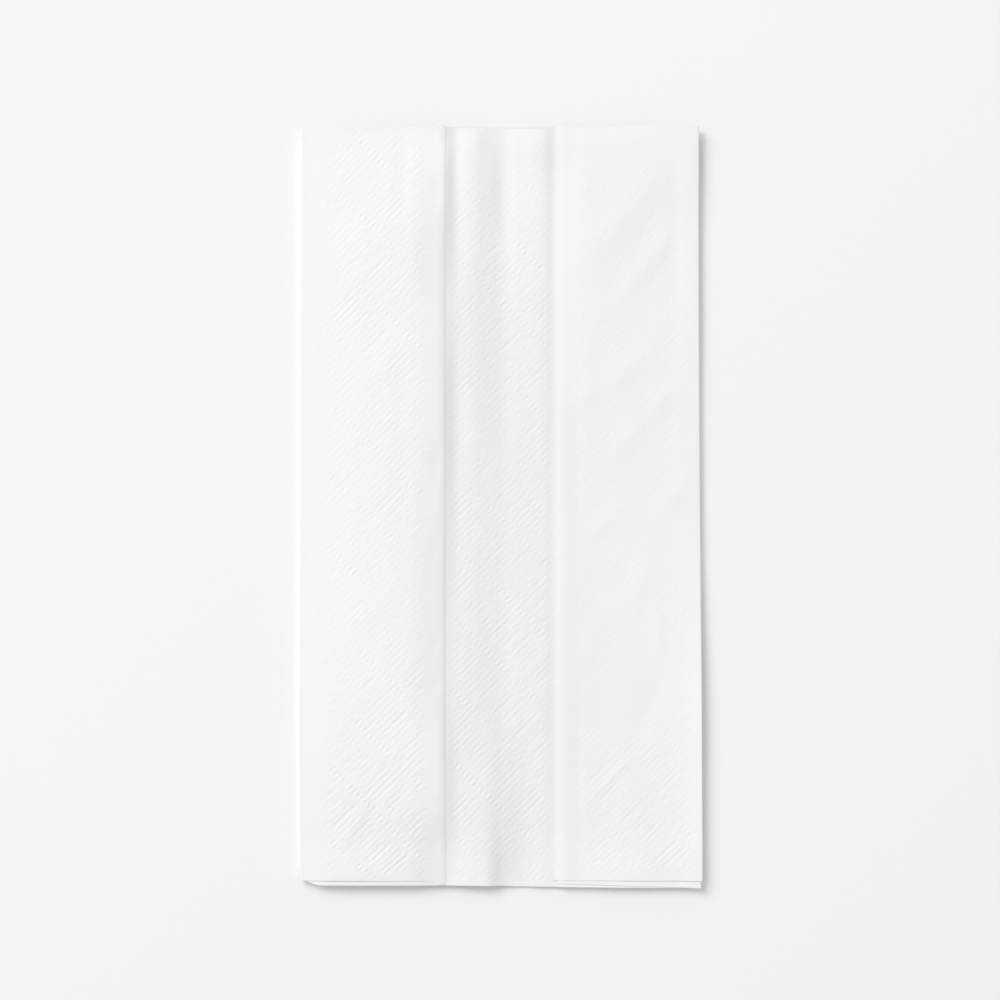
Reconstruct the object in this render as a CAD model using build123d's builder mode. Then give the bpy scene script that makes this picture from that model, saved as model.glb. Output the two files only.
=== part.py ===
from build123d import *
from math import radians, tan
import os

# Paper napkin: one sheet of embossed tissue, folded in half along its length and
# then C-folded, so that both long sides turn in over the middle and leave a strip open.
# X is across the folded napkin, Y along it and Z up, in millimetres.
# The origin is on the surface that the napkin lies on, under the middle of its outline.

# Outline of the folded napkin
folded_width = 94.0
folded_length = 178.0

# Flaps, measured from the outer fold to the inner edge
left_flap = 34.3  # ends in the closed half fold
right_flap = 34.8  # ends in the sheet's two cut edges
cut_edge_offset = 1.0  # the lower cut edge stops this much short of the upper one

# Tissue
tissue = 0.25  # thickness over the embossing
slack = 0.15  # air between two layers that lie on each other

# The left side is puffed up: all its layers swell off the underside, from the left fold over
# a shoulder to the crown of the flap, and fall again from there into the open strip
shoulder_inset = 9.0  # from the outer fold to the shoulder
shoulder_swell = 1.2
crown_swell = 2.7
edge_swell = 2.1

# The flaps spring open to a soft crown, and droop from it to their inner edges
left_lift = 0.35
right_lift = 0.15
left_droop = 0.15
right_droop = 0.1
crown_inset = 8.0  # from the inner edge to the crown

# Waves of the open strip: it falls from the left ridge over the soft middle crease.
# Their places are shares of the strip's width, counted from the left flap's edge.
left_ridge_share = 0.27
left_ridge_rise = 1.8
crease_share = 0.53
crease_rise = 0.8
right_ridge_share = 0.85
right_ridge_rise = 0.45
foot_share = 0.05  # flat run at each side of the strip, beside the flaps

# The outer and the inner half of the doubled sheet have slipped along Y
bottom_step = 1.5  # the inner half reaches this much further at the bottom
top_step = 0.7  # the outer half reaches this much further at the top
right_drift = 0.9  # the inner half's right flap draws back this much at its cut edge

# Heights of the middles of the four layers
pitch = tissue + slack
outer_base_z = tissue / 2
inner_base_z = outer_base_z + pitch
inner_flap_z = inner_base_z + pitch
outer_flap_z = inner_flap_z + pitch
shoulder_lift = left_lift / 2
half_fold_z = (inner_flap_z + outer_flap_z) / 2 + edge_swell + left_lift - left_droop

# Places across the napkin and along it
half_width = folded_width / 2
outer_fold_x = half_width - tissue / 2
inner_fold_x = outer_fold_x - pitch
left_edge_x = -half_width + left_flap
half_fold_x = left_edge_x - tissue / 2
left_shoulder_x = -half_width + shoulder_inset
left_crown_x = left_edge_x - crown_inset
upper_cut_x = half_width - right_flap
lower_cut_x = upper_cut_x + cut_edge_offset
right_crown_x = upper_cut_x + crown_inset
strip_width = upper_cut_x - left_edge_x
past_left_edge_x = left_edge_x + tissue
top_y = folded_length / 2
bottom_y = -top_y
outer_bottom_y = bottom_y + bottom_step
inner_top_y = top_y - top_step

# How far the cuts that trim the inner half's ends run past it, in plan and in height,
# and the level in the air between the base and the flaps, where both lie flat
past_lower_cut_x = lower_cut_x - tissue
past_top_y = top_y + top_step
past_bottom_y = bottom_y - bottom_step
flap_level_z = inner_flap_z - pitch / 2
clear_height = outer_flap_z + crown_swell + left_lift + right_lift

# Every bend of the section takes this share of the shorter run beside it, so that a fold
# is a round turn with a short flat between its two bends, and a wave is one soft curve
bend_share = 0.42


def soft_bends(points):
    """Radius of the bend at each inner point of a section's middle line."""
    runs = [Vector(*after) - Vector(*before) for before, after in zip(points, points[1:])]
    lengths = [run.length for run in runs]
    lengths[0] *= 2  # the half fold's height goes on in the other half of the sheet
    radii = []
    for i, (run, next_run) in enumerate(zip(runs, runs[1:])):
        shorter = min(lengths[i], lengths[i + 1])
        turn = radians(run.get_angle(next_run))
        radii.append(bend_share * shorter / tan(turn / 2))
    return radii


def strip_x(share):
    """Place across the open strip, counted from the left flap's edge."""
    return left_edge_x + share * strip_width


def layer_face(points):
    """Section of one half of the doubled sheet: its middle line, thickened."""
    with BuildLine():
        middle_line = FilletPolyline(*points, radius=soft_bends(points))
    trace(middle_line, line_width=tissue)


# Inner half: from the half fold out under the left flap, back across the base, where it
# shows as the open strip, and in again under the right flap.
inner_half_points = [
    (half_fold_x, half_fold_z),
    (half_fold_x, inner_flap_z + edge_swell + left_lift - left_droop),
    (left_crown_x, inner_flap_z + crown_swell + left_lift),
    (left_shoulder_x, inner_flap_z + shoulder_swell + shoulder_lift),
    (-inner_fold_x, inner_flap_z),
    (-inner_fold_x, inner_base_z),
    (left_shoulder_x, inner_base_z + shoulder_swell),
    (left_crown_x, inner_base_z + crown_swell),
    (strip_x(foot_share), inner_base_z + edge_swell),
    (strip_x(left_ridge_share), inner_base_z + left_ridge_rise),
    (strip_x(crease_share), inner_base_z + crease_rise),
    (strip_x(right_ridge_share), inner_base_z + right_ridge_rise),
    (strip_x(1 - foot_share), inner_base_z),
    (inner_fold_x, inner_base_z),
    (inner_fold_x, inner_flap_z),
    (right_crown_x, inner_flap_z + right_lift),
    (lower_cut_x, inner_flap_z + right_lift - right_droop),
]

# Outer half: from the half fold out over the left flap, under everything as the
# underside, and in again as the top of the right flap.
outer_half_points = [
    (half_fold_x, half_fold_z),
    (half_fold_x, outer_flap_z + edge_swell + left_lift - left_droop),
    (left_crown_x, outer_flap_z + crown_swell + left_lift),
    (left_shoulder_x, outer_flap_z + shoulder_swell + shoulder_lift),
    (-outer_fold_x, outer_flap_z),
    (-outer_fold_x, outer_base_z),
    (outer_fold_x, outer_base_z),
    (outer_fold_x, outer_flap_z),
    (right_crown_x, outer_flap_z + right_lift),
    (upper_cut_x, outer_flap_z + right_lift - right_droop),
]


def room_above(line):
    """All the room over a line of the section, from one end of the napkin past the other."""
    with BuildPart() as room:
        with BuildSketch(Plane.XZ.offset(-past_top_y)):
            with BuildLine():
                Polyline(*line, (line[-1][0], clear_height), (line[0][0], clear_height), close=True)
            make_face()
        extrude(amount=past_top_y - past_bottom_y)
    return room.part


def end_piece(outline, room):
    """What lies inside an outline in plan and in one of the rooms."""
    with BuildPart() as piece:
        with BuildSketch():
            with BuildLine():
                Polyline(*outline, close=True)
            make_face()
        extrude(amount=clear_height)
        add(room, mode=Mode.INTERSECT)
    return piece.part


# Lines of the section half way up the air between the base and the inner half's two flaps
left_flap_room = room_above([
    (-half_width, flap_level_z),
    (left_shoulder_x, flap_level_z + shoulder_swell + shoulder_lift / 2),
    (left_crown_x, flap_level_z + crown_swell + left_lift / 2),
    (past_left_edge_x, flap_level_z + edge_swell + (left_lift - left_droop) / 2),
])
right_flap_room = room_above([(past_lower_cut_x, flap_level_z), (half_width, flap_level_z)])
base_room = room_above([(-half_width, 0), (half_width, 0)]) - left_flap_room - right_flap_room

# What the inner half loses at its ends, in plan, and the room in which it does.
# The base's top end stops short of the outer half's, and the left flap's runs aslant from
# there to the half fold, where the two halves are one. At the bottom the left flap's end
# rises to the half fold in the same way, and the right one draws back to its cut edge.
whole_top = [
    (-half_width, inner_top_y),
    (half_width, inner_top_y),
    (half_width, past_top_y),
    (-half_width, past_top_y),
]
left_flap_top = [
    (-half_width, inner_top_y),
    (-inner_fold_x, inner_top_y),
    (left_edge_x, top_y),
    (past_left_edge_x, top_y),
    (past_left_edge_x, past_top_y),
    (-half_width, past_top_y),
]
left_flap_bottom = [
    (-inner_fold_x, bottom_y),
    (left_edge_x, outer_bottom_y),
    (past_left_edge_x, outer_bottom_y),
    (past_left_edge_x, past_bottom_y),
    (-inner_fold_x, past_bottom_y),
]
right_flap_bottom = [
    (inner_fold_x, bottom_y),
    (lower_cut_x, bottom_y + right_drift),
    (past_lower_cut_x, bottom_y + right_drift),
    (past_lower_cut_x, past_bottom_y),
    (inner_fold_x, past_bottom_y),
]
end_pieces = [
    end_piece(whole_top, base_room),
    end_piece(whole_top, right_flap_room),
    end_piece(left_flap_top, left_flap_room),
    end_piece(left_flap_bottom, left_flap_room),
    end_piece(right_flap_bottom, right_flap_room),
]

with BuildPart() as inner_half:
    with BuildSketch(Plane.XZ.offset(-top_y)):
        layer_face(inner_half_points)
    extrude(amount=folded_length)
    add(end_pieces, mode=Mode.SUBTRACT)

with BuildPart() as napkin:
    with BuildSketch(Plane.XZ.offset(-top_y)):
        layer_face(outer_half_points)
    extrude(amount=folded_length - bottom_step)
    add(inner_half.part)

napkin.part.label = "napkin"
os.makedirs("parts", exist_ok=True)
export_step(napkin.part, "parts/napkin.step")
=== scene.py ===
from collections import namedtuple
from math import cos, pi, radians, sin, sqrt

import bpy
import numpy as np
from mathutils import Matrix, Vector


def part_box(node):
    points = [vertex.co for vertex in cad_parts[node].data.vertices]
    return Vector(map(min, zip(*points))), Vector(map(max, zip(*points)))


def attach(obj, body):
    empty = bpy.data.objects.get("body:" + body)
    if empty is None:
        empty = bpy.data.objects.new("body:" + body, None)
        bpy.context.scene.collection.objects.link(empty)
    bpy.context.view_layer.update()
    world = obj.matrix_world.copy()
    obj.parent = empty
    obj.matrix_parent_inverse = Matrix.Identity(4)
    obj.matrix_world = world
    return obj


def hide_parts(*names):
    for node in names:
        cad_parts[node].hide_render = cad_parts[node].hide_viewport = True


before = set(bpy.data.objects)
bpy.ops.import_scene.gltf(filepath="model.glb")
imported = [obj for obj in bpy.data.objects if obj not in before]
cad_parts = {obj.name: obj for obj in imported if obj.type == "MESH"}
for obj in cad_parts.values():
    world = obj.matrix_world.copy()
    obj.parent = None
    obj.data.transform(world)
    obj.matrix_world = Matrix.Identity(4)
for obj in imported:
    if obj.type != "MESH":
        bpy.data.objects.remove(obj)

bl_info = {
    "name": "Paper napkin",
    "version": (1, 0, 0),
    "blender": (4, 5, 0),
    "location": "3D View > Sidebar > Napkin",
    "description": "A C-folded paper napkin of embossed tissue, on a pale floor in soft studio light",
    "category": "Add Mesh",
}

# The sheet is worked out in millimetres: X across the folded napkin, Y along it and Z up.
MM = 0.001
CAD_LOW, CAD_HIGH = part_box("napkin")
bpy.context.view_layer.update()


class NapkinSettings(bpy.types.PropertyGroup):
    """Sizes and colour of the folded napkin."""

    folded_width: bpy.props.FloatProperty(
        name="Folded width",
        description="Distance between the two outer folds",
        default=CAD_HIGH.x - CAD_LOW.x,
        min=0.06,
        max=0.2,
        subtype="DISTANCE",
        unit="LENGTH",
    )
    left_flap: bpy.props.FloatProperty(
        name="Left flap",
        description="Width of the flap that ends in the closed half fold",
        default=0.0343,
        min=0.02,
        max=0.06,
        subtype="DISTANCE",
        unit="LENGTH",
    )
    right_flap: bpy.props.FloatProperty(
        name="Right flap",
        description="Width of the flap that ends in the two cut edges",
        default=0.0348,
        min=0.02,
        max=0.06,
        subtype="DISTANCE",
        unit="LENGTH",
    )
    thickness: bpy.props.FloatProperty(
        name="Tissue thickness",
        description="Thickness of one layer of tissue, over its embossing",
        default=0.00025,
        min=0.0001,
        max=0.0006,
        precision=5,
        subtype="DISTANCE",
        unit="LENGTH",
    )
    slack: bpy.props.FloatProperty(
        name="Slack",
        description="Air between two layers that lie on each other",
        default=0.00015,
        min=0.00005,
        max=0.001,
        precision=5,
        subtype="DISTANCE",
        unit="LENGTH",
    )
    line_pitch: bpy.props.FloatProperty(
        name="Line pitch",
        description="Distance from one embossed line to the next",
        default=0.0012,
        min=0.0011,
        max=0.003,
        precision=5,
        subtype="DISTANCE",
        unit="LENGTH",
    )
    emboss_depth: bpy.props.FloatProperty(
        name="Emboss depth",
        description="Depth of a clear embossed line",
        default=0.000072,
        min=0.0,
        max=0.0001,
        precision=6,
        subtype="DISTANCE",
        unit="LENGTH",
    )
    softness: bpy.props.FloatProperty(
        name="Softness",
        description="How far the folded layers rise off each other, as a share of the usual rise",
        default=1.0,
        min=0.3,
        max=1.5,
        subtype="FACTOR",
    )
    paper_colour: bpy.props.FloatVectorProperty(
        name="Paper colour",
        description="Colour of the tissue",
        default=(0.914, 0.914, 0.914),
        min=0.0,
        max=1.0,
        size=3,
        subtype="COLOR",
    )


class StageSettings(bpy.types.PropertyGroup):
    """Floor, light and camera of the studio."""

    floor_colour: bpy.props.FloatVectorProperty(
        name="Floor colour",
        description="Colour of the floor that the napkin lies on",
        default=(0.93, 0.93, 0.93),
        min=0.0,
        max=1.0,
        size=3,
        subtype="COLOR",
    )
    key_power: bpy.props.FloatProperty(
        name="Key power",
        description="Power of the large soft lamp",
        default=80.0,
        min=0.0,
        soft_max=400.0,
        subtype="POWER",
        unit="POWER",
    )
    key_size: bpy.props.FloatProperty(
        name="Key size",
        description="Side of the square lamp",
        default=2.0,
        min=0.05,
        max=4.0,
        subtype="DISTANCE",
        unit="LENGTH",
    )
    key_distance: bpy.props.FloatProperty(
        name="Key distance",
        description="Distance from the middle of the napkin to the lamp",
        default=3.5,
        min=0.4,
        max=10.0,
        subtype="DISTANCE",
        unit="LENGTH",
    )
    key_height: bpy.props.FloatProperty(
        name="Key height",
        description="Angle of the lamp above the floor",
        default=radians(38),
        min=radians(10),
        max=radians(90),
        subtype="ANGLE",
        unit="ROTATION",
    )
    key_turn: bpy.props.FloatProperty(
        name="Key direction",
        description="Direction of the lamp, counted anticlockwise from the right",
        default=radians(135),
        min=0.0,
        max=radians(360),
        subtype="ANGLE",
        unit="ROTATION",
    )
    fill: bpy.props.FloatProperty(
        name="Fill",
        description="Strength of the even light from all round",
        default=0.604,
        min=0.0,
        max=1.0,
        subtype="FACTOR",
    )
    camera_height: bpy.props.FloatProperty(
        name="Camera height",
        description="Height of the camera above the floor",
        default=0.65,
        min=0.2,
        max=3.0,
        subtype="DISTANCE",
        unit="LENGTH",
    )
    lens: bpy.props.FloatProperty(
        name="Lens",
        description="Focal length of the camera",
        default=100.0,
        min=20.0,
        max=300.0,
        unit="CAMERA",
    )


def eased(share):
    """0 to 1 with a soft start and end, for a share that may run past either."""
    t = np.clip(share, 0.0, 1.0)
    return t * t * (3.0 - 2.0 * t)


def at_least(least, share):
    """A share from 0 to 1, squeezed so that it starts at the least value."""
    return least + (1 - least) * share


def faded_in(distance, fade):
    """0 up to where a fade begins and 1 from its end on. A fade is where it begins and its run."""
    begin, run = fade
    return eased((distance - begin) / run)


def run_of(at, places):
    """The run between two rising places that holds each value, its length and how far along."""
    at = np.clip(at, places[0], places[-1])
    i = np.clip(np.searchsorted(places, at) - 1, 0, len(places) - 2)
    run = places[i + 1] - places[i]
    return i, run, (at - places[i]) / run


def cubic(t, run, first, first_slope, last, last_slope):
    """A cubic over a run that has the given values and slopes at its two ends."""
    start = (1 + 2 * t) * (1 - t) ** 2 * first + t * (1 - t) ** 2 * run * first_slope
    end = t * t * (3 - 2 * t) * last + t * t * (t - 1) * run * last_slope
    return start + end


def soft_curve(at, places, values):
    """A smooth curve through values at rising places, level beyond both ends."""
    slopes = np.gradient(values, places)
    slopes[0] = slopes[-1] = 0.0
    i, run, t = run_of(at, places)
    return cubic(t, run, values[i], slopes[i], values[i + 1], slopes[i + 1])


def soft_surface(x, y, places, rows):
    """A smooth surface: each row holds a place along Y and heights at the places along X."""
    heights = np.stack([soft_curve(y, rows[:, 0], column) for column in rows[:, 1:].T])
    slopes = np.gradient(heights, places, axis=0)
    i, run, t = run_of(x, places)

    def at(values, index):
        return np.take_along_axis(values, index[None], axis=0)[0]

    return cubic(t, run, at(heights, i), at(slopes, i), at(heights, i + 1), at(slopes, i + 1))


def swell(x, y, middle, length, width, turn, rise):
    """One soft hump or dent: its half length lies along turn, in degrees from X."""
    a = radians(turn)
    along = (x - middle[0]) * cos(a) + (y - middle[1]) * sin(a)
    across = (y - middle[1]) * cos(a) - (x - middle[0]) * sin(a)
    return rise * np.exp(-((along / length) ** 2) - (across / width) ** 2)


# The layers aren't flat: they are puffed up from the left fold to the middle of the strip,
# and fall to the middle crease, most of all near the ends. Each row: place along Y, then the
# height of the strip's own layer at the places across the napkin. The heights are estimates
# from the photograph's light and shade.
PUFF_PLACES = np.array(
    [-46.5, -40.0, -31.0, -21.0, -14.0, -10.0, -6.0, -2.6, 0.2, 4.5, 10.0, 13.5, 20.0, 30.0, 40.0]
)
PUFF = np.array([
    (-89.0, 0.0, 0.45, 0.4, 0.45, 0.0, 0.8, 1.3, 1.4, 0.4, -0.1, 0.1, 0.2, 0.0, 0.0, 0.0),
    (-86.0, 0.0, 0.45, 0.45, 0.6, 0.1, 0.9, 1.45, 1.5, 0.5, -0.05, 0.2, 0.2, 0.0, 0.0, 0.0),
    (-80.0, 0.0, 0.5, 0.7, 1.0, 0.6, 1.3, 1.8, 1.8, 1.0, 0.3, 0.2, 0.2, 0.0, 0.0, 0.0),
    (-72.0, 0.0, 0.7, 1.2, 2.0, 1.8, 2.1, 2.15, 1.95, 1.3, 0.6, 0.3, 0.2, 0.0, 0.0, 0.0),
    (-60.0, 0.0, 0.9, 1.95, 2.8, 2.5, 2.4, 2.1, 1.8, 1.3, 0.7, 0.4, 0.2, 0.0, 0.0, 0.0),
    (-45.0, 0.0, 1.15, 2.4, 3.2, 2.5, 2.4, 2.0, 1.45, 1.0, 0.8, 0.5, 0.25, 0.0, 0.0, 0.0),
    (0.0, 0.0, 1.0, 2.3, 2.8, 1.95, 1.8, 1.6, 1.25, 0.95, 0.7, 0.35, 0.2, 0.05, 0.0, 0.0),
    (25.0, 0.0, 1.0, 2.3, 2.9, 2.1, 2.1, 2.05, 1.5, 1.05, 0.9, 0.7, 0.4, 0.35, 0.2, 0.0),
    (45.0, 0.0, 1.0, 2.15, 3.1, 2.6, 2.55, 2.15, 1.5, 1.0, 0.8, 0.6, 0.3, 0.5, 0.3, 0.0),
    (66.0, 0.0, 1.0, 2.5, 3.0, 1.5, 1.6, 1.5, 0.8, 0.2, 0.4, 0.5, 0.2, 0.6, 0.4, 0.0),
    (80.0, 0.0, 0.9, 1.6, 1.4, 0.1, 0.9, 1.1, 0.5, -0.1, 0.25, 0.6, 0.2, 0.6, 0.3, 0.0),
    (85.0, 0.0, 0.7, 1.0, 0.8, -0.2, 0.6, 0.95, 0.3, -0.05, 0.45, 0.95, 0.5, 0.6, 0.3, 0.0),
    (89.0, 0.0, 0.5, 0.6, 0.5, -0.2, 0.4, 0.7, 0.2, -0.05, 0.45, 0.9, 0.5, 0.4, 0.2, 0.0),
])
UNDER_SHARE = 0.3  # share of the puff that the underside follows

# How far the left flap's inner edge and what lies under it are raised, over the rise above.
# Each row: Y, height.
EDGE_DROP = np.array([
    (-89.0, 0.45), (-82.0, 0.6), (-68.0, 0.8), (-45.0, 0.5), (-22.0, 0.5), (-3.0, 0.75),
    (25.0, 1.15), (48.0, 0.65), (66.0, 1.35), (80.0, 1.8), (89.0, 1.3),
])
EDGE_DROP_FROM, EDGE_DROP_TO = -13.2, -9.4  # X where it begins to fall and where it has ended
EDGE_DROP_BACK = 11.0  # how far to the left the climb to that height takes

# Shallow gutter along the right flap's cut edge: middle X, half width, depth
GUTTER = (12.6, 1.6, 0.12)

# Soft dents and humps that the layers share: middle, half length, half width, turn, rise
LUMPS = [
    ((29.0, 68.2), 12.0, 4.0, 50.0, 0.22),
    ((37.9, 60.9), 5.0, 2.6, 55.0, 0.12),
    ((32.5, 54.1), 8.0, 2.4, 50.0, 0.1),
    ((29.9, 32.4), 6.0, 2.6, 45.0, 0.11),
    ((37.7, 24.4), 4.0, 2.5, 55.0, 0.13),
    ((19.9, 26.3), 4.0, 2.2, 60.0, 0.09),
    ((29.5, 15.6), 5.0, 2.5, 50.0, 0.11),
    ((40.5, 2.0), 6.0, 2.2, 55.0, 0.1),
    ((24.5, -4.0), 5.0, 2.4, 45.0, 0.09),
    ((32.7, -17.7), 6.0, 2.6, 75.0, 0.12),
    ((36.7, -29.4), 7.0, 1.5, 90.0, 0.09),
    ((21.3, -32.4), 6.0, 3.0, 70.0, 0.1),
    ((25.6, -63.4), 5.5, 0.9, 45.0, 0.1),
    ((41.6, 62.0), 20.0, 1.8, 90.0, -0.1),
    ((33.7, -48.8), 8.0, 2.5, 70.0, -0.12),
    ((17.6, -60.0), 22.0, 1.9, 90.0, -0.12),
    ((17.4, 10.0), 26.0, 1.9, 90.0, -0.09),
    ((-15.0, 73.0), 3.0, 1.3, 90.0, -0.17),
    ((-15.0, 10.0), 4.5, 1.3, 90.0, -0.22),
    ((-15.0, -9.5), 2.5, 1.2, 90.0, -0.09),
    ((-15.0, -32.0), 2.5, 1.2, 90.0, -0.09),
    ((-15.0, -41.0), 2.0, 1.2, 90.0, -0.1),
    ((-15.0, -78.0), 4.0, 1.2, 90.0, -0.09),
    ((-34.0, -74.0), 6.0, 1.6, 60.0, 0.1),
    ((-27.0, 33.0), 7.0, 3.0, 50.0, 0.1),
    ((-30.0, -24.0), 7.0, 3.0, 50.0, 0.12),
]

# Where the whole napkin stands off the floor: middle, half length, half width, turn, rise
FLOOR_LIFTS = [
    ((54.0, -46.0), 26.0, 9.0, 90.0, 1.6),
    ((47.5, -68.0), 26.0, 3.2, 90.0, 0.3),
    ((54.0, -86.0), 14.0, 9.0, 90.0, 0.9),
    ((47.0, 78.0), 20.0, 9.0, 90.0, 0.2),
    ((42.0, 88.0), 16.0, 16.0, 90.0, 0.9),
    ((47.0, 48.0), 16.0, 9.0, 90.0, 0.3),
    ((-31.0, -89.0), 13.0, 9.0, 0.0, 0.8),
    ((28.0, -89.0), 12.0, 8.0, 0.0, 0.6),
    ((-37.5, -91.0), 3.0, 3.0, 0.0, -0.6),
    ((-29.5, -91.0), 3.5, 3.0, 0.0, -0.5),
]

# How close the layers lie together, from 0 to 1. Each row: X, closeness.
CLOSENESS = np.array([
    (-46.5, 0.0), (-40.0, 0.1), (-30.0, 0.4), (-20.0, 0.7), (-12.7, 0.95),
    (12.2, 0.8), (18.0, 0.8), (24.0, 0.75), (28.0, 0.6), (33.0, 0.42), (38.0, 0.28), (46.5, 0.0),
])
CLOSE_AIR = 0.55  # share of the distance between two layers that the full closeness takes
CLOSE_TISSUE = 0.4  # share of the tissue's thickness that it takes
COVER_RUN = 3.0  # length under a flap's edge over which the strip's layer comes to lie as close

# How the layers thin out towards edges and ends, in distance and thickness alike
THINNED = 0.7  # share of both that the full thinning takes
HALF_FOLD_LIP = 0.15  # width of the left flap's inner edge that is thinned throughout
HALF_FOLD_THINNING = 1.8  # length over which the left flap thins out to that
HALF_FOLD_SHARE = 1.3  # how much of the full thinning it reaches there
CUT_EDGE_LIP = 0.4  # width of the right flap's inner edge that is thinned throughout
CUT_EDGE_THINNING = 2.3  # length over which the right flap thins out to that
CUT_EDGE_SHARE = 0.65  # how much of the full thinning it reaches there
STRIP_THINNING = 2.4  # length over which the strip thins out towards both flaps
END_THINNING = 2.6  # length over which all layers thin out to the ends of the sheet

CUT_EDGE_REACH = 1.0  # how far the upper cut edge reaches past the lower one
CUT_EDGE_SAG = 0.35  # share of the distance between two layers by which it sags there

# Ends of the sheet along Y. Each row: X, bottom end, top end.
RIGHT_TOP_ENDS = [(12.2, -87.35, 88.8), (30.0, -87.35, 88.85), (46.3, -87.4, 88.9)]
UNDER_ENDS = [(-46.3, -87.3, 88.8), (46.3, -87.4, 88.9)]
LEFT_TOP_ENDS = [
    (-46.3, -87.3, 88.8), (-18.0, -87.4, 88.9), (-15.5, -87.7, 88.9), (-12.8, -88.4, 88.9),
]
LEFT_INNER_ENDS = [
    (-46.3, -87.1, 88.2), (-44.6, -88.4, 88.3), (-16.0, -88.4, 88.6), (-12.8, -88.4, 88.9),
]
BASE_ENDS = [
    (-46.3, -87.1, 88.2), (-44.6, -88.4, 88.3), (-11.0, -88.5, 88.5), (-5.6, -88.5, 88.45),
    (-4.8, -88.5, 88.2), (0.5, -88.6, 88.15), (3.0, -88.8, 88.15), (23.0, -88.95, 88.2),
    (46.3, -89.05, 88.2),
]
RIGHT_INNER_ENDS = [(13.2, -88.05, 88.2), (46.3, -89.05, 88.2)]

# Shift of the outer folds over the length. Each row: Y, left fold, right fold.
FOLD_SHIFT = np.array([
    (-89.0, 0.05, 0.1), (-80.0, 0.0, 0.1), (-45.0, -0.32, -0.1),
    (0.0, 0.0, -0.45), (50.0, 0.2, -0.75), (89.0, 0.25, -0.8),
])

# Folds
OUTER_RADIUS = 0.14  # corners of the two outer folds, along the middle of the tissue
INNER_RADIUS_SHARE = 0.45  # the same at the other folds, as a share of two layers' distance
FOLD_TURNS = (60, 30, 0)  # degrees from level at which a round corner has its points

# The sheet's points lie in rows across the napkin and in columns along it. Rows stand a quarter
# of the line pitch apart, measured across the embossed lines.
HALF_ROWS = 208
COARSE = 8  # rows from one point to the next in layers that don't show
COARSEST = 16  # the same in the underside
END_RUN = 8.25  # length at each end over which rows are fitted to the sheet's ends

# Where the embossing's own columns begin, as distances from the folds and edges beside them
EMBOSSED_FROM_CUT_EDGE = 5.4
EMBOSSED_FROM_RIGHT_FOLD = 1.3
EMBOSSED_FROM_LEFT_FOLD = 2.4
EMBOSSED_FROM_HALF_FOLD = 5.2
EMBOSSED_UNDER_FLAPS = 0.5

# The columns of the top layers between those and the folds and edges
BY_CUT_EDGE = np.array([0.0, 0.5, 1.0, 1.7, 2.6, 3.6, 4.6])
BY_RIGHT_FOLD = np.array([0.6, 0.0])
BY_LEFT_FOLD = np.array([0.0, 0.7, 1.5])
BY_HALF_FOLD = np.array([3.9, 2.9, 1.9, 1.2, 0.6, 0.3, 0.0])

# The few columns of skins that don't show: close ones by an edge, and from where others spread
HIDDEN_BY_CUT_EDGE = 2.2
HIDDEN_FROM_CUT_EDGE = 4.0
HIDDEN_BY_HALF_FOLD = np.array([3.0, 2.1, 1.4, 0.8])
HIDDEN_FROM_HALF_FOLD = 4.3
HIDDEN_BY_STRIP_EDGE = np.array([0.0, 0.5, 1.0, 1.5, 2.1])
HIDDEN_FROM_STRIP_EDGE = 3.2
HIDDEN_LEFT, HIDDEN_RIGHT, HIDDEN_STRIP, HIDDEN_UNDER = 9, 10, 12, 17  # how many spread out

# The embossing. Zones: 0 plain, 1 left flap, 2 strip, 3 right flap.
BAND_LINES = 10  # line pitches from one row of dots to the next, and from block to block
BLOCK_LINES = 7  # lines of a block that are pressed in as clearly as it is
BETWEEN_BLOCKS = 0.65  # depth of the other lines, as a share of that
BANDS = 12  # bands drawn to each side of the middle, and blocks as well
# The last three seeds weren't taken blindly. Each is the best of 1.5 million that a program
# tried, by how closely the depths of its blocks follow those measured in the photograph.
ZONE_SEEDS = (0, 393453, 1472563, 1409465)
ZONE_SHIFTS = ((0.0, -0.75), (0.0, -0.75), (-3.5, 1.75), (0.0, -0.75))  # across, along; in pitches
BLOCK_DEPTHS = ((0.0, 0.0), (0.45, 0.9), (0.5, 0.7), (0.25, 1.0))  # faintest and clearest block
BLOCK_RARITY = 1.2  # over 1, clear blocks are rarer than faint ones
DEEPEST = 2.0  # the most that any line is pressed in, as a share of a clear one

# Single lines, in line pitches and in shares of their block's depth
GROOVE_MIDDLE, GROOVE_REACH = 0.125, 0.2  # place of a groove's two rows of points in its pitch
FAINT_BELOW, FAINT_LINE = 0.12, 0.2  # share of the lines that are faint, and their depth
STRONG_FROM, STRONG_LINE = 0.9, 1.3  # the rest, from this share on, are strong, and their depth
USUAL_LINE, USUAL_SPREAD = 0.6, 0.5  # depth of the others, and how much the draw adds
LINE_HALF_LENGTH, LENGTH_SPREAD = 3.05, 0.5
LINE_END = 0.5  # length over which a line fades out at its ends
LINE_STRAY = 0.8  # how far lines lie from the middle of their band, from one side to the other
BEADED_BELOW, BEADING = 0.2, 0.25  # share of lines that are beads, and how beaded the others are

# The rows of dots between two bands
DOT_DEPTH = 2.5
DOT_HALF_WIDTH = 0.32
FAINTEST_ROW, FAINTEST_DOT = 0.4, 0.5  # shares of that depth

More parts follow.
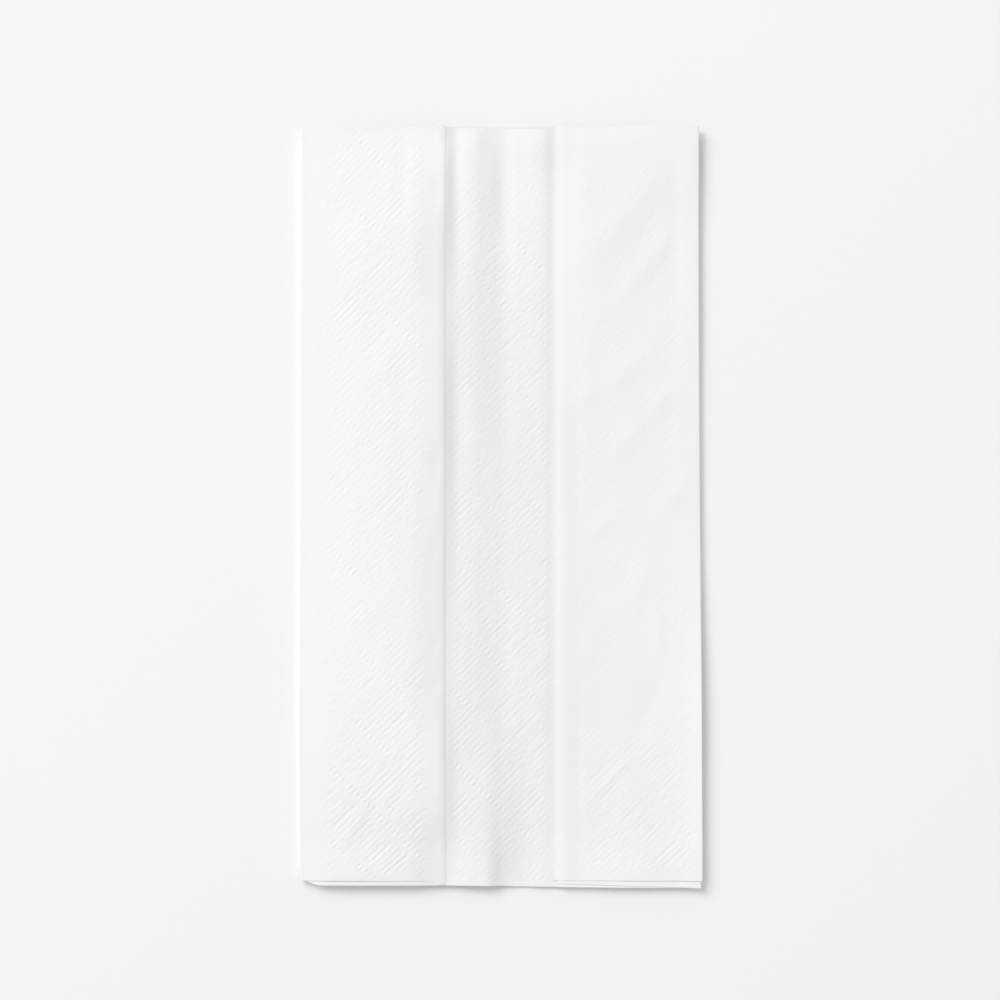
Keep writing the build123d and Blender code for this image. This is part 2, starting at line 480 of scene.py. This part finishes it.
# How clearly each zone is embossed along the napkin. Each row: Y, left flap, strip, right flap.
EMBOSSED = np.array([
    (-89.0, 1.4, 0.8, 0.75), (-70.0, 1.45, 1.15, 0.75), (-57.0, 1.1, 1.15, 0.65),
    (-50.0, 1.0, 1.1, 0.32), (-30.0, 0.8, 1.0, 0.26), (0.0, 0.8, 0.95, 0.28),
    (30.0, 0.85, 0.9, 0.3), (55.0, 1.0, 0.9, 0.25), (70.0, 0.85, 0.7, 0.27),
    (80.0, 0.85, 0.35, 0.15), (89.0, 0.7, 0.2, 0.05),
])

# How the embossing fades in from each fold and edge: the distance at which it begins, its run
LEFT_FOLD_FADE = (3.0, 6.5)
HALF_FOLD_FADE = (4.3, 1.6)
STRIP_FADE = (0.0, 1.5)
CUT_EDGE_FADE = (2.8, 4.0)
RIGHT_FOLD_FADE = (1.0, 2.0)
FLATTENED = 0.9  # share of the embossing and the grain that the full thinning takes
LEVEL = 0.99  # least upward part of the normal of a column that is embossed

# The crepe's grain, drawn once for a square of the lattice that repeats
GRAIN = 0.021  # its usual height
GRAIN_SEED = 5
GRAIN_POINTS = 512  # along one side of that square
GRAIN_LIMIT = 2.5  # the farthest that it goes up or down, in usual heights
PLAIN_GRAIN = 0.35  # share of the grain where the embossing doesn't show

SHARP_ANGLE = radians(50)  # edges that turn by more than this are sharp, as the sheet's rim is

# What a column of points holds: its place and normal in the section, the rows from one of its
# points to the next, how its layer moves, and the sheet's ends along it
Layer = namedtuple("Layer", "puff_share on_left on_right zone")
COLUMN_VALUES = ("x", "z", "normal_x", "normal_z", "step", *Layer._fields, "bottom", "top")
Column = namedtuple("Column", COLUMN_VALUES)

RIGHT_FLAP = Layer(puff_share=1, on_left=0, on_right=1, zone=3)
UNDERSIDE = Layer(puff_share=UNDER_SHARE, on_left=0, on_right=0, zone=0)
LEFT_FLAP = Layer(puff_share=1, on_left=1, on_right=0, zone=1)
BASE = Layer(puff_share=1, on_left=0, on_right=0, zone=2)


def ends_at(x, ends):
    """Bottom and top end of the sheet at places across one stretch of it."""
    places, bottoms, tops = np.array(ends).T
    return np.interp(x, places, bottoms), np.interp(x, places, tops)


class Stretches:
    """Middle line of the sheet, from its upper cut edge round the folds to its lower cut edge."""

    def __init__(self):
        self.columns = []

    def add(self, x, z, normal, step, layer, ends):
        """One column of points."""
        self.columns.append(Column(x, z, *normal, step, *layer, *ends))

    def flat(self, xs, z, up, step, layer, ends):
        """A level stretch through the given places, with one step or a step for each of them."""
        bottoms, tops = ends_at(xs, ends)
        steps = np.broadcast_to(step, (len(xs),))
        for x, own_step, bottom, top in zip(xs, steps, bottoms, tops):
            self.add(x, z, (0.0, up), own_step, layer, (bottom, top))

    def fold(self, x, start_z, end_z, radius, side, outside, layer, ends):
        """A fold's points: two round corners with an upright run between them.

        Side is 1 for a fold at the right and -1 for one at the left. Outside is 1 where the
        upper skin of the stretch before it goes round its outer side, and -1 on its inner side.
        """
        down = 1 if start_z > end_z else -1
        first = [(start_z - down * radius, turn) for turn in FOLD_TURNS]
        last = [(end_z + down * radius, -turn) for turn in reversed(FOLD_TURNS)]
        for z, turn in first + last:
            across = side * cos(radians(turn))
            up = down * sin(radians(turn))
            normal = (outside * across, outside * up)
            self.add(x + radius * across, z + radius * up, normal, COARSE, layer, ends)

    def table(self):
        """All columns in their order round the section, one to a row."""
        return np.array(self.columns, float)


def lattice(low, high, spacing):
    """Places on the embossing's own grid between two limits."""
    return np.arange(np.ceil(low / spacing), np.floor(high / spacing) + 1) * spacing


def half_width(s):
    """Distance from the middle of the napkin to its two outer folds."""
    return s.folded_width / MM / 2


def flap_edges(s):
    """X of the left flap's inner edge and of the right flap's."""
    return -half_width(s) + s.left_flap / MM, half_width(s) - s.right_flap / MM


def layer_heights(s):
    """Heights of the middles of the four layers where they lie loosely, and their distance."""
    pitch = (s.thickness + s.slack) / MM
    return [s.thickness / MM / 2 + pitch * i for i in range(4)], pitch


def hidden_right(cut_x, near, fold_x):
    """The few columns of a right-hand layer that doesn't show, from its edge to its fold."""
    by_edge = cut_x + np.array([*near, HIDDEN_BY_CUT_EDGE])
    return np.r_[by_edge, np.linspace(cut_x + HIDDEN_FROM_CUT_EDGE, fold_x, HIDDEN_RIGHT)]


def hidden_left(fold_x, left_x):
    """The few columns of a left-hand layer that doesn't show, from its fold to its edge."""
    spread = np.linspace(-fold_x, left_x - HIDDEN_FROM_HALF_FOLD, HIDDEN_LEFT)
    return np.r_[spread, left_x - HIDDEN_BY_HALF_FOLD]


def right_top(cut_x, fold_x, spacing, fine):
    """Columns of the right flap's top layer, from its cut edge to the right fold."""
    if not fine:
        return hidden_right(cut_x, (0.0, 1.0), fold_x)
    embossed = lattice(cut_x + EMBOSSED_FROM_CUT_EDGE, fold_x - EMBOSSED_FROM_RIGHT_FOLD, spacing)
    return np.r_[cut_x + BY_CUT_EDGE, embossed, fold_x - BY_RIGHT_FOLD]


def left_top(fold_x, left_x, turn_x, hidden, spacing, fine):
    """Columns of the left flap's top layer, from the left fold to the half fold's turn."""
    if not fine:
        return np.r_[-fold_x, hidden[1:], turn_x]
    embossed = lattice(-fold_x + EMBOSSED_FROM_LEFT_FOLD, left_x - EMBOSSED_FROM_HALF_FOLD, spacing)
    return np.r_[-fold_x + BY_LEFT_FOLD, embossed, turn_x - BY_HALF_FOLD]


def open_strip(left_x, cut_x, spacing, fine):
    """Columns of the open strip, from under the left flap's edge to under the right one's."""
    if not fine:
        spread = np.linspace(left_x + HIDDEN_FROM_STRIP_EDGE, cut_x, HIDDEN_STRIP)
        return np.r_[left_x + HIDDEN_BY_STRIP_EDGE, spread]
    return lattice(left_x - EMBOSSED_UNDER_FLAPS, cut_x + EMBOSSED_UNDER_FLAPS, spacing)


def sheet_columns(s, spacing, fine):
    """The columns of one skin. Fine is the skin that shows, with its embossed grid."""
    (under_z, base_z, inner_z, top_z), pitch = layer_heights(s)
    left_x, cut_x = flap_edges(s)
    half_thick = s.thickness / MM / 2
    inner_radius = INNER_RADIUS_SHARE * pitch
    fold_x = half_width(s) - half_thick - OUTER_RADIUS
    inner_x = fold_x - OUTER_RADIUS - inner_radius
    turn_x = left_x - half_thick - inner_radius
    left_fold_ends, right_fold_ends = ends_at(-fold_x, UNDER_ENDS), ends_at(fold_x, UNDER_ENDS)
    half_fold_ends = LEFT_TOP_ENDS[-1][1:]
    hidden = hidden_left(inner_x, left_x)
    step = 1 if fine else COARSE
    out = Stretches()

    # Outer half of the sheet: top of the right flap, underside and top of the left flap
    out.flat(right_top(cut_x, fold_x, spacing, fine), top_z, 1, step, RIGHT_FLAP, RIGHT_TOP_ENDS)
    out.fold(fold_x, top_z, under_z, OUTER_RADIUS, 1, 1, UNDERSIDE, right_fold_ends)
    under = np.linspace(fold_x, -fold_x, HIDDEN_UNDER)
    out.flat(under, under_z, -1, COARSEST, UNDERSIDE, UNDER_ENDS)
    out.fold(-fold_x, under_z, top_z, OUTER_RADIUS, -1, 1, UNDERSIDE, left_fold_ends)
    shown = left_top(fold_x, left_x, turn_x, hidden, spacing, fine)
    out.flat(shown, top_z, 1, step, LEFT_FLAP, LEFT_TOP_ENDS)

    # Inner half: from the half fold back under the left flap, the strip, under the right flap
    out.fold(turn_x, top_z, inner_z, inner_radius, 1, 1, LEFT_FLAP, half_fold_ends)
    out.flat(np.r_[turn_x, hidden[::-1]], inner_z, -1, COARSE, LEFT_FLAP, LEFT_INNER_ENDS)
    out.fold(-inner_x, inner_z, base_z, inner_radius, -1, -1, LEFT_FLAP, ends_at(-inner_x, BASE_ENDS))
    shown = open_strip(left_x, cut_x, spacing, fine)
    under_right = hidden_right(cut_x, (1.0,), inner_x)
    steps = [COARSE] * len(hidden) + [step] * len(shown) + [COARSE] * len(under_right)
    out.flat(np.r_[hidden, shown, under_right], base_z, 1, steps, BASE, BASE_ENDS)
    out.fold(inner_x, base_z, inner_z, inner_radius, 1, -1, RIGHT_FLAP, ends_at(inner_x, BASE_ENDS))
    inner_flap = hidden_right(cut_x, (CUT_EDGE_REACH,), inner_x)[::-1]
    out.flat(inner_flap, inner_z, -1, COARSE, RIGHT_FLAP, RIGHT_INNER_ENDS)
    return out.table()


def pressed_lines(x, y, zone, pitch):
    """Depth of the embossing at places on the sheet, as a share of a clear line's.

    The lines lie aslant in bands, with a row of dots between two bands. Each band is split
    into blocks of lines, which are pressed in more or less clearly, as is each line in them.
    """
    shifts = np.array(ZONE_SHIFTS)[zone]
    across = (x - y) / sqrt(2) / pitch + shifts[..., 0]
    along = (x + y) / sqrt(2) / pitch + shifts[..., 1]
    line = np.round(across - GROOVE_MIDDLE).astype(int)
    band = np.floor(along / BAND_LINES).astype(int)
    from_middle = along - (band + 0.5) * BAND_LINES
    block, in_block = np.divmod(line, BAND_LINES)
    row, column = band + BANDS, line + BANDS * BAND_LINES

    draws = [np.random.default_rng(seed) for seed in ZONE_SEEDS]
    blocks = np.stack([draw.random((2 * BANDS, 2 * BANDS)) for draw in draws])
    singles = np.stack([draw.random((5, 2 * BANDS, 2 * BANDS * BAND_LINES)) for draw in draws])
    depth_draw, length_draw, bead_draw, dot_draw, place_draw = (
        singles[zone, i, row, column] for i in range(5)
    )

    faintest, clearest = np.array(BLOCK_DEPTHS)[zone].transpose(2, 0, 1)
    of_block = blocks[zone, row, block + BANDS] ** BLOCK_RARITY
    of_block = faintest + (clearest - faintest) * of_block
    usual = np.where(depth_draw < STRONG_FROM, USUAL_LINE + USUAL_SPREAD * depth_draw, STRONG_LINE)
    of_line = np.where(depth_draw < FAINT_BELOW, FAINT_LINE, usual)
    of_line = of_line * np.where(in_block < BLOCK_LINES, 1.0, BETWEEN_BLOCKS)
    off_middle = np.abs(from_middle + LINE_STRAY * (place_draw - 0.5))
    half_length = LINE_HALF_LENGTH + LENGTH_SPREAD * length_draw
    kept = eased((half_length - off_middle) / LINE_END)
    beads = 0.5 + 0.5 * np.cos(2 * pi * along + pi * line)
    kept = kept * (1 - np.where(bead_draw < BEADED_BELOW, 1.0, BEADING) * (1 - beads))

    dot_row = np.round(along / BAND_LINES).astype(int) + BANDS
    of_row = blocks[zone, dot_row, (block + BANDS // 2) % BANDS]
    off_row = np.abs(np.abs(from_middle) - BAND_LINES / 2)
    dots = DOT_DEPTH * at_least(FAINTEST_ROW, of_row) * at_least(FAINTEST_DOT, dot_draw)
    dots = dots * np.exp(-((off_row / DOT_HALF_WIDTH) ** 2))
    groove = np.abs(across - line - GROOVE_MIDDLE) < GROOVE_REACH
    return np.where(groove, np.maximum(of_block * of_line * kept, dots), 0.0)


def emboss_strength(x, y, zone, s):
    """How clearly the embossing shows at a place: it fades towards the folds and edges."""
    left_x, cut_x = flap_edges(s)
    left = faded_in(x + half_width(s), LEFT_FOLD_FADE) * faded_in(left_x - x, HALF_FOLD_FADE)
    strip = faded_in(x - left_x, STRIP_FADE) * faded_in(cut_x - x, STRIP_FADE)
    right = faded_in(x - cut_x, CUT_EDGE_FADE) * faded_in(half_width(s) - x, RIGHT_FOLD_FADE)
    shares = [soft_curve(y, EMBOSSED[:, 0], column) for column in EMBOSSED[:, 1:].T]
    return np.choose(zone, [0.0 * x, left * shares[0], strip * shares[1], right * shares[2]])


def grain(x, y, spacing):
    """Small uneven heights of the crepe, in standard deviations, one for each point of the grid."""
    draws = np.random.default_rng(GRAIN_SEED).normal(size=(GRAIN_POINTS, GRAIN_POINTS))
    draws = np.clip(draws, -GRAIN_LIMIT, GRAIN_LIMIT)
    across, along = (np.round(places / spacing).astype(int) % GRAIN_POINTS for places in (x, y))
    return draws[across, along]


def thinning(x, left_x, cut_x):
    """How much the layers thin out towards the flaps' inner edges, as a share of the usual."""
    on_flap = np.clip(1 - (left_x - HALF_FOLD_LIP - x) / HALF_FOLD_THINNING, 0.0, 1.0) ** 2
    past_flap = eased(1 - (x - left_x) / STRIP_THINNING)
    before_cut = eased(1 - (cut_x - x) / STRIP_THINNING)
    past_cut = eased(1 - (x - cut_x - CUT_EDGE_LIP) / CUT_EDGE_THINNING)
    left = HALF_FOLD_SHARE * np.where(x < left_x, on_flap, past_flap)
    right = CUT_EDGE_SHARE * np.where(x < cut_x, before_cut, past_cut)
    return np.maximum(left, right)


def puffed(x, y):
    """How high the layers puff up together, over where they would lie flat."""
    puff = soft_surface(x, y, PUFF_PLACES, PUFF)
    t = np.clip((x - EDGE_DROP_FROM) / (EDGE_DROP_TO - EDGE_DROP_FROM), 0.0, 1.0)
    drop = (1 - t) ** 3 * (1 + 3 * t)
    drop = drop * eased((x - EDGE_DROP_FROM + EDGE_DROP_BACK) / EDGE_DROP_BACK)
    puff = puff + drop * soft_curve(y, *EDGE_DROP.T)
    middle, width, depth = GUTTER
    puff = puff - depth * np.exp(-(((x - middle) / width) ** 2))
    return puff + sum(swell(x, y, *each) for each in LUMPS)


def stacked(x, column, thin, end_thin, s):
    """Height of each layer's middle as it lies on the others, and its thickness there.

    Layers are counted from the base: it is 0, a flap's two are 1 and 2, the underside is -1.
    """
    (_, base_z, _, _), pitch = layer_heights(s)
    left_x, cut_x = flap_edges(s)
    layer = (column.z - base_z) / pitch + 0.0 * x
    covered = np.maximum(eased((left_x - x) / COVER_RUN), eased((x - cut_x) / COVER_RUN))
    covered = np.maximum(np.maximum(column.on_left, column.on_right), covered)
    close = soft_curve(x, *CLOSENESS.T) * covered
    gap = pitch * (1 - CLOSE_AIR * close) * (1 - THINNED * thin)
    end_gap = gap * (1 - THINNED * end_thin)
    tissue = s.thickness / MM * (1 - CLOSE_TISSUE * close) * (1 - THINNED * thin)
    end_tissue = tissue * (1 - THINNED * end_thin)
    sag = CUT_EDGE_SAG * column.on_right * eased(1 - (x - cut_x) / CUT_EDGE_REACH)
    layer_sagged = layer - sag * np.maximum(layer - 1, 0.0)
    above = covered * (2 * gap - (2 - layer_sagged) * end_gap) + (1 - covered) * layer * pitch
    below = covered * 2 * (gap - end_gap) + layer * pitch * (1 - THINNED * end_thin * covered)
    z = base_z + np.where(layer >= 0, above + (tissue - end_tissue) / 2, below)
    return z, end_tissue


def embossed(x, y, column, thin, end_thin, s, spacing):
    """Height of the embossing and the grain over the plain skin, at places on the lattice."""
    zone = (column.zone + 0.0 * y).astype(int)
    shown = emboss_strength(x, y, zone, s)
    pressed = np.minimum(shown * pressed_lines(x, y, zone, s.line_pitch / MM), DEEPEST)
    uneven = GRAIN * at_least(PLAIN_GRAIN, np.minimum(shown, 1.0)) * grain(x, y, spacing)
    kept = (zone > 0) * (column.normal_z > LEVEL) * (1 - FLATTENED * thin) * (1 - FLATTENED * end_thin)
    return kept * (uneven - s.emboss_depth / MM * pressed)


def shaped(table, rows, s, spacing, skin):
    """The points of one skin, in one grid of columns and rows."""
    column = Column(*(values[:, None] for values in table.T))
    row_y = rows[None, :] * spacing + 0.0 * column.x
    x = column.x + 0.0 * row_y
    reach = HALF_ROWS * spacing
    y = row_y + (column.bottom + reach) * eased((-row_y - reach + END_RUN) / END_RUN)
    y = y + (column.top - reach) * eased((y - reach + END_RUN) / END_RUN)

    # The underside stays as thick as it is
    thin = np.where(column.puff_share < 1, 0.0, thinning(x, *flap_edges(s)))
    from_bottom, from_top = y - column.bottom, column.top - y
    end_thin = np.maximum(eased(1 - from_bottom / END_THINNING), eased(1 - from_top / END_THINNING))
    z, tissue = stacked(x, column, thin, end_thin, s)
    lift = sum(swell(x, y, *each) for each in FLOOR_LIFTS)
    z = z + s.softness * column.puff_share * puffed(x, y) + lift
    off = skin * tissue / 2
    if skin > 0:
        off = off + embossed(x, row_y, column, thin, end_thin, s, spacing)

    # The outer folds' drift takes what is near them along
    side = np.clip(np.abs(x) / half_width(s), 0.0, 1.0) ** 2
    left_shift, right_shift = (np.interp(y, FOLD_SHIFT[:, 0], FOLD_SHIFT[:, i]) for i in (1, 2))
    x = x + side * np.where(x < 0, left_shift, right_shift)
    return np.stack([x + column.normal_x * off, y, z + column.normal_z * off], -1)


def zipped(first, first_places, second, second_places):
    """Faces between two rows of points, first on the left of second when seen from outside."""
    faces = []
    i = j = 0
    while i < len(first) - 1 or j < len(second) - 1:
        next_first = first_places[i + 1] if i < len(first) - 1 else np.inf
        next_second = second_places[j + 1] if j < len(second) - 1 else np.inf
        if np.isclose(next_first, next_second, rtol=0.0):
            faces.append((first[i], second[j], second[j + 1], first[i + 1]))
            i += 1
            j += 1
        elif next_first < next_second:
            faces.append((first[i], second[j], first[i + 1]))
            i += 1
        else:
            faces.append((first[i], second[j], second[j + 1]))
            j += 1
    return faces


def facing(grid):
    """Unit normals of a grid of points, left out along its rim, where the edges are sharp."""
    across = grid[2:, 1:-1] - grid[:-2, 1:-1]
    along = grid[1:-1, 2:] - grid[1:-1, :-2]
    inside = np.cross(across, along)
    normals = np.zeros_like(grid)
    normals[1:-1, 1:-1] = inside / np.linalg.norm(inside, axis=-1, keepdims=True)
    return normals


def skin_points(s, skin):
    """One skin's points, normals and columns, and how far along the section each column lies.

    A column here is the numbers of its points and their places along Y.
    """
    spacing = s.line_pitch / MM * sqrt(2) / 4
    table = sheet_columns(s, spacing, skin > 0)
    section = Column(*table.T)
    rows = np.arange(-HALF_ROWS, HALF_ROWS + 1)
    grid = shaped(table, rows, s, spacing, skin)
    points, normals, columns = [], [], []
    count = 0
    for column, turned, step in zip(grid, facing(grid), section.step.astype(int)):
        kept = np.arange(0, len(rows), step)
        points.append(column[kept])
        normals.append(turned[kept])
        columns.append((np.arange(count, count + len(kept)), kept))
        count += len(kept)
    path = np.r_[0.0, np.cumsum(np.hypot(np.diff(section.x), np.diff(section.z)))]
    return np.concatenate(points), np.concatenate(normals), columns, path


def on_flat_sheet(columns, path):
    """Places of one skin's points on the flat sheet: distance across it and row along it."""
    return np.concatenate([
        np.stack([np.full(len(ids), across), kept], -1) for across, (ids, kept) in zip(path, columns)
    ])


def sheet_mesh(s):
    """The whole folded sheet, two skins joined round their rim.

    Gives its points, their normals, their places on the flat sheet as shares of its width and
    length, the faces, and the flat sheet's width.
    """
    front, front_normals, front_columns, front_path = skin_points(s, 1)
    back, back_normals, back_columns, back_path = skin_points(s, -1)
    flat_width = front_path[-1]
    back_columns = [(ids + len(front), kept) for ids, kept in back_columns]
    back_path = back_path * flat_width / back_path[-1]
    faces = []
    for a, b in zip(front_columns, front_columns[1:]):
        faces += zipped(*a, *b)
    for a, b in zip(back_columns, back_columns[1:]):
        faces += zipped(*b, *a)
    faces += zipped(*back_columns[0], *front_columns[0])
    faces += zipped(*front_columns[-1], *back_columns[-1])
    for end, front_first in ((0, True), (-1, False)):
        outer = [ids[end] for ids, _ in front_columns], front_path
        inner = [ids[end] for ids, _ in back_columns], back_path
        faces += zipped(*outer, *inner) if front_first else zipped(*inner, *outer)
    normals = np.concatenate([front_normals, 0.0 * back_normals])
    on_sheet = [on_flat_sheet(front_columns, front_path), on_flat_sheet(back_columns, back_path)]
    on_sheet = np.concatenate(on_sheet) / (flat_width, 2 * HALF_ROWS)
    return np.concatenate([front, back]) * MM, normals, on_sheet, faces, flat_width


class Value:
    """A socket of a shader, so that sums and products of numbers read as plain Python."""

    def __init__(self, shader, socket):
        self.shader = shader
        self.socket = socket

    def _joined(self, operation, *values):
        return self.shader.node("ShaderNodeMath", {"operation": operation}, dict(enumerate(values)))

    def __add__(self, other):
        return self._joined("ADD", self, other)

    def __radd__(self, other):
        return self._joined("ADD", other, self)

    def __mul__(self, other):
        return self._joined("MULTIPLY", self, other)

    def __rmul__(self, other):
        return self._joined("MULTIPLY", other, self)


class Shader:
    """The nodes of a material or of the world, made one at a time."""

    def __init__(self, owner):
        self.owner = owner
        self.owner.use_nodes = True
        self.tree = owner.node_tree
        self.tree.nodes.clear()

    def node(self, kind, settings=None, sockets=None, output=0):
        """Adds a node: its settings first, then the values or links of its sockets."""
        node = self.tree.nodes.new(kind)
        for name, value in (settings or {}).items():
            setattr(node, name, value)
        for name, value in (sockets or {}).items():
            if isinstance(value, Value):
                self.tree.links.new(value.socket, node.inputs[name])
            else:
                node.inputs[name].default_value = value
        return Value(self, node.outputs[output]) if len(node.outputs) else None

    def noise(self, place, cells, detail, roughness=0.5):
        """Noise of so many cells to the metre."""
        sockets = {"Vector": place, "Scale": cells, "Detail": detail, "Roughness": roughness}
        return self.node("ShaderNodeTexNoise", sockets=sockets, output="Fac")

    def finish(self, surface, output="ShaderNodeOutputMaterial"):
        """Sends a surface to the output."""
        self.node(output, sockets={"Surface": surface})
        return self.owner


def opaque(colour, tone=1.0):
    """A colour with its alpha, lighter or darker by a tone."""
    return (*(min(1.0, tone * part) for part in colour), 1.0)


# The tissue's own look: noise cells to the metre, how they are drawn out, and what they change
FIBRES, FIBRE_STRETCH = 2600.0, (1.0, 0.45, 1.0)
CREPE, CREPE_STRETCH = 1900.0, (0.22, 1.0, 1.0)
CLOUDS = 160.0
THIN_TONE, DENSE_TONE = 0.965, 1.012  # tones of the tissue where its fibres lie thin and dense
FUZZ = 0.000012  # height of the fibres and the crepe, in metres
SMOOTHEST, ROUGHER = 0.86, 0.14  # least roughness, and what the fibres add


def tissue_material(s):
    """Matte two-ply tissue: short fibres, a fine crepe across them and a cloudy formation."""
    shader = Shader(bpy.data.materials.new("embossed tissue"))
    place = shader.node("ShaderNodeTexCoord", output="Object")
    along_fibres = shader.node("ShaderNodeMapping", sockets={"Vector": place, "Scale": FIBRE_STRETCH})
    across_crepe = shader.node("ShaderNodeMapping", sockets={"Vector": place, "Scale": CREPE_STRETCH})
    fibres = shader.noise(along_fibres, FIBRES, detail=3.0, roughness=0.6)
    crepe = shader.noise(across_crepe, CREPE, detail=2.0)
    clouds = shader.noise(place, CLOUDS, detail=2.0)
    density = 0.5 * fibres + 0.5 * clouds
    thin, dense = opaque(s.paper_colour, THIN_TONE), opaque(s.paper_colour, DENSE_TONE)
    # The colour mix's sockets share their names with others: 0 is its factor, 6 and 7 its colours
    colour = shader.node(
        "ShaderNodeMix", {"data_type": "RGBA"}, {0: density, 6: thin, 7: dense}, output=2
    )
    height = 0.6 * fibres + 0.4 * crepe
    normal = shader.node(
        "ShaderNodeBump", sockets={"Strength": 0.5, "Distance": FUZZ, "Height": height}
    )
    surface = shader.node(
        "ShaderNodeBsdfPrincipled",
        sockets={
            "Base Color": colour,
            "Roughness": SMOOTHEST + ROUGHER * fibres,
            "Specular IOR Level": 0.2,
            "Normal": normal,
        },
    )
    return shader.finish(surface)


def card_material(s):
    """Matte pale card for the floor."""
    shader = Shader(bpy.data.materials.new("pale card"))
    surface = shader.node(
        "ShaderNodeBsdfPrincipled",
        sockets={"Base Color": opaque(s.floor_colour), "Roughness": 1.0, "Specular IOR Level": 0.0},
    )
    return shader.finish(surface)


class NAPKIN_OT_fold_sheet(bpy.types.Operator):
    """Fold the embossed tissue sheet into the napkin"""

    bl_idname = "napkin.fold_sheet"
    bl_label = "Fold the napkin"

    def execute(self, context):
        s = context.scene.napkin_settings
        points, normals, on_sheet, faces, flat_width = sheet_mesh(s)
        mesh = bpy.data.meshes.new("folded_napkin")
        mesh.from_pydata(points.tolist(), [], faces)
        mesh.shade_smooth()
        mesh.set_sharp_from_angle(angle=SHARP_ANGLE)
        if mesh.validate():
            raise RuntimeError("the folded sheet has faces that don't hold together")
        corners = np.zeros(len(mesh.loops), int)
        mesh.loops.foreach_get("vertex_index", corners)
        mesh.normals_split_custom_set(normals[corners].tolist())
        mesh.uv_layers.new(name="OFBake").data.foreach_set("uv", on_sheet[corners].ravel())
        napkin = bpy.data.objects.new("folded_napkin", mesh)
        context.scene.collection.objects.link(napkin)
        mesh.materials.append(tissue_material(s))
        flat_length = 2 * HALF_ROWS * s.line_pitch * sqrt(2) / 4
        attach(napkin, "root")
        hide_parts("napkin")
        flat_width * MM
        return {"FINISHED"}


# The stage, in metres
FLOOR_REACH = 6.0
FLOOR_CORNERS = 64
SENSOR_WIDTH = 36.0  # of the camera, in millimetres
CAMERA_X, CAMERA_Y = -0.00023, 0.00152  # the napkin lies a little off the picture's middle


class NAPKIN_OT_set_stage(bpy.types.Operator):
    """Set the pale floor, the soft light and the camera above the napkin"""

    bl_idname = "napkin.set_stage"
    bl_label = "Set the stage"

    def execute(self, context):
        s = context.scene.napkin_stage
        self.floor(context, s)
        self.key(context, s)
        self.surroundings(context, s)
        self.camera(context, s)
        context.scene.view_settings.view_transform = "Standard"
        return {"FINISHED"}

    def floor(self, context, s):
        """A large round sheet of matte card."""
        mesh = bpy.data.meshes.new("floor")
        turns = [2 * pi * i / FLOOR_CORNERS for i in range(FLOOR_CORNERS)]
        corners = [(FLOOR_REACH * cos(turn), FLOOR_REACH * sin(turn), 0.0) for turn in turns]
        mesh.from_pydata(corners, [], [tuple(range(FLOOR_CORNERS))])
        mesh.materials.append(card_material(s))
        floor = bpy.data.objects.new("floor", mesh)
        context.scene.collection.objects.link(floor)

    def key(self, context, s):
        """One square soft lamp, upper left of the picture."""
        lamp = bpy.data.lights.new("soft key", "AREA")
        lamp.shape = "SQUARE"
        lamp.size = s.key_size
        lamp.energy = s.key_power
        key = bpy.data.objects.new("soft key", lamp)
        level = s.key_distance * cos(s.key_height)
        height = s.key_distance * sin(s.key_height)
        key.location = (level * cos(s.key_turn), level * sin(s.key_turn), height)
        key.rotation_mode = "QUATERNION"
        key.rotation_quaternion = (-Vector(key.location)).to_track_quat("-Z", "Y")
        context.scene.collection.objects.link(key)

    def surroundings(self, context, s):
        """Even light from all round, behind which the camera sees a pale wall."""
        shader = Shader(bpy.data.worlds.new("studio"))
        seen = shader.node("ShaderNodeLightPath", output="Is Camera Ray")
        fill = shader.node(
            "ShaderNodeBackground", sockets={"Color": opaque((1.0, 1.0, 1.0)), "Strength": s.fill}
        )
        wall = shader.node("ShaderNodeBackground", sockets={"Color": opaque(s.floor_colour)})
        mixed = shader.node("ShaderNodeMixShader", sockets={0: seen, 1: fill, 2: wall})
        context.scene.world = shader.finish(mixed, "ShaderNodeOutputWorld")

    def camera(self, context, s):
        """Looks straight down on the napkin."""
        lens = bpy.data.cameras.new("camera")
        lens.lens = s.lens
        lens.sensor_width = SENSOR_WIDTH
        camera = bpy.data.objects.new("camera", lens)
        camera.location = (CAMERA_X, CAMERA_Y, s.camera_height)
        context.scene.collection.objects.link(camera)
        context.scene.camera = camera


class NAPKIN_PT_panel(bpy.types.Panel):
    """Lists the sizes of the napkin and its stage"""

    bl_idname = "NAPKIN_PT_panel"
    bl_label = "Paper napkin"
    bl_space_type = "VIEW_3D"
    bl_region_type = "UI"
    bl_category = "Napkin"

    def draw(self, context):
        for group, operator in (
            (context.scene.napkin_settings, NAPKIN_OT_fold_sheet),
            (context.scene.napkin_stage, NAPKIN_OT_set_stage),
        ):
            box = self.layout.box()
            for name in group.bl_rna.properties.keys():
                if name not in ("rna_type", "name"):
                    box.prop(group, name)
            box.operator(operator.bl_idname)


CLASSES = (NapkinSettings, StageSettings, NAPKIN_OT_fold_sheet, NAPKIN_OT_set_stage, NAPKIN_PT_panel)


def register():
    for each in CLASSES:
        bpy.utils.register_class(each)
    bpy.types.Scene.napkin_settings = bpy.props.PointerProperty(type=NapkinSettings)
    bpy.types.Scene.napkin_stage = bpy.props.PointerProperty(type=StageSettings)


def unregister():
    del bpy.types.Scene.napkin_stage
    del bpy.types.Scene.napkin_settings
    for each in reversed(CLASSES):
        bpy.utils.unregister_class(each)


def main():
    register()
    bpy.ops.napkin.set_stage()
    bpy.ops.napkin.fold_sheet()


if __name__ == "__main__":
    main()
